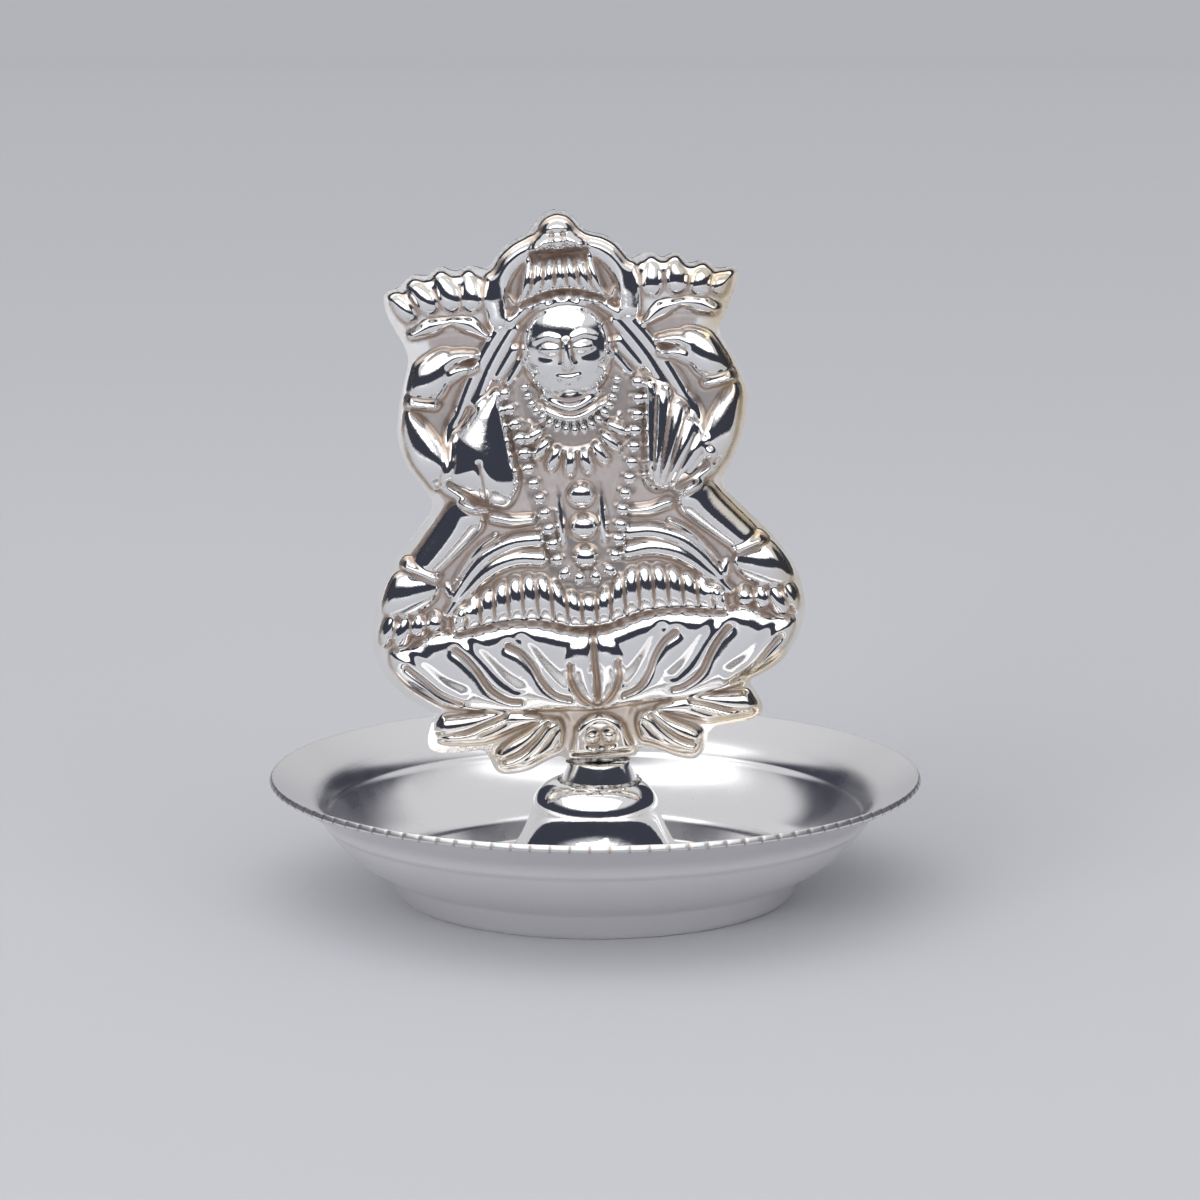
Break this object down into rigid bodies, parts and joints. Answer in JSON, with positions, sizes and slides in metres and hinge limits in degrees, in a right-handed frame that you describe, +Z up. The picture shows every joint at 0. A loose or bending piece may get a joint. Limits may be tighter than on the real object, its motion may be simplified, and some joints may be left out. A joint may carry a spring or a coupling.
{
  "type": "incense stand",
  "caption": "Incense stand in silver sheet: an embossed four-armed seated deity on a lotus, carried by a small bell pedestal in a spun dish with a milled rim.",
  "frame": {"origin": "centre of the dish's flat foot, on the surface it stands on", "axes": "+Z up through the pedestal; the figure faces -Y; +X to the right as seen from the front"},
  "size_m": [0.08, 0.08, 0.0837],
  "materials": {
    "satin_silver": "silver sheet, satin outside and on the flange, polished in the bowl",
    "polished_silver": "polished silver, solder marks at the joints",
    "embossed_silver": "polished silver, grey-brown tarnish in the hollows of the relief"
  },
  "bodies": {
    "root": {"dish": "satin_silver", "pedestal_bell": "polished_silver", "neck_collar": "polished_silver", "figure_front": "embossed_silver", "figure_back": "polished_silver", "stick_socket_left": "polished_silver", "stick_socket_middle": "polished_silver", "stick_socket_right": "polished_silver"}
  },
  "joints": []
}
